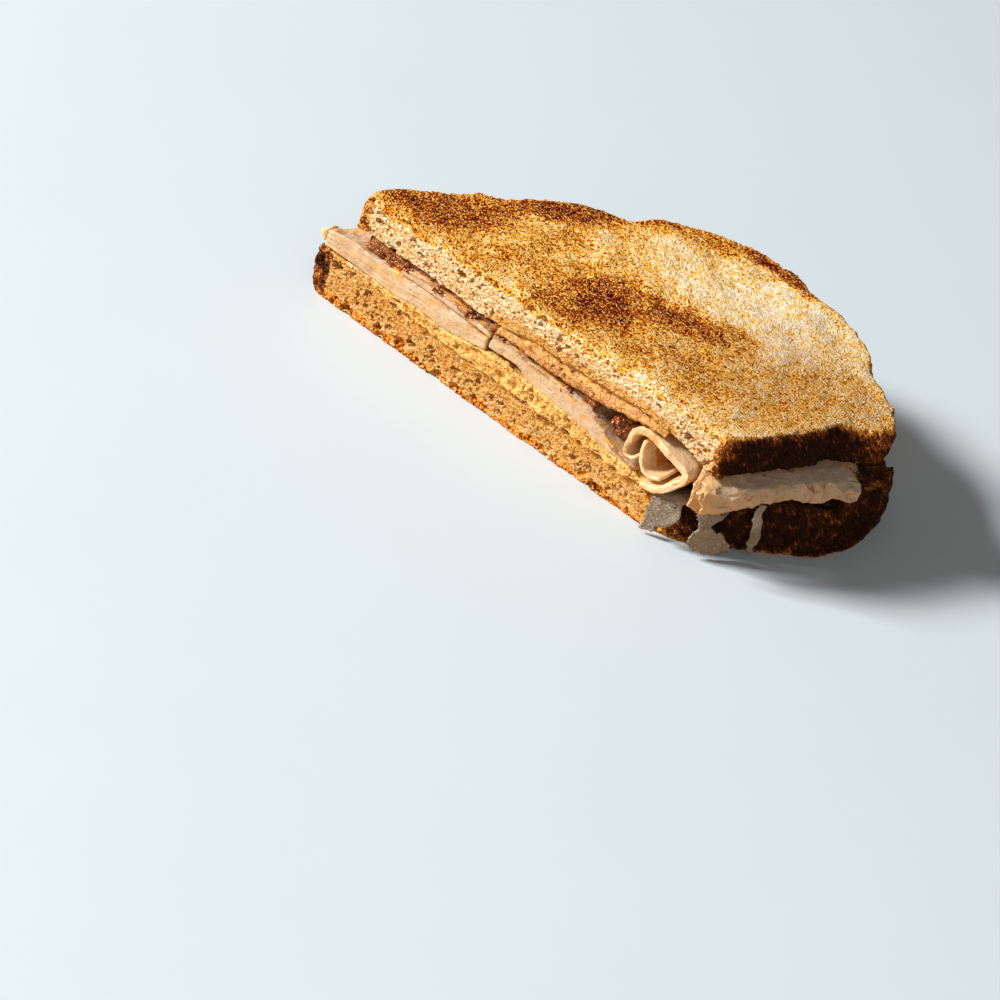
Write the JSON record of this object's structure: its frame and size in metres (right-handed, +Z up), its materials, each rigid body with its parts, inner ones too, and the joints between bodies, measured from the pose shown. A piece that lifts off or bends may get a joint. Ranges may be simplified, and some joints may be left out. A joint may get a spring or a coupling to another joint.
{
  "type": "turkey melt sandwich half",
  "caption": "Half of a toasted bread sandwich, cut across, with sliced turkey, melted cheese and relish showing at the cut and a flap of turkey hanging out at the crust.",
  "frame": {"origin": "middle of the footprint, on the surface that the sandwich lies on", "axes": "+Z up, +X along the cut to the right as one looks at the cut face, +Y back from the cut face"},
  "size_m": [0.1608, 0.0878, 0.0383],
  "materials": {
    "bread": "toasted crumb, dark baked crust",
    "turkey": "moist sliced meat",
    "yellow_cheese": "melted, slightly glossy",
    "pale_cheese": "melted, slightly glossy",
    "relish": "wet, grainy"
  },
  "bodies": {
    "root": {"bread_lower": "bread", "bread_upper": "bread", "turkey_left": "turkey", "turkey_middle": "turkey", "turkey_right": "turkey", "turkey_curl": "turkey", "turkey_curl_fold": "turkey", "turkey_flap": "turkey", "turkey_fold": "turkey", "turkey_sheet": "turkey", "turkey_flake": "turkey", "turkey_strip": "turkey", "turkey_scrap": "turkey", "turkey_tip": "turkey", "cheese_melted": "yellow_cheese", "cheese_film": "pale_cheese", "relish_layer": "relish", "relish_heap": "relish"}
  },
  "joints": []
}
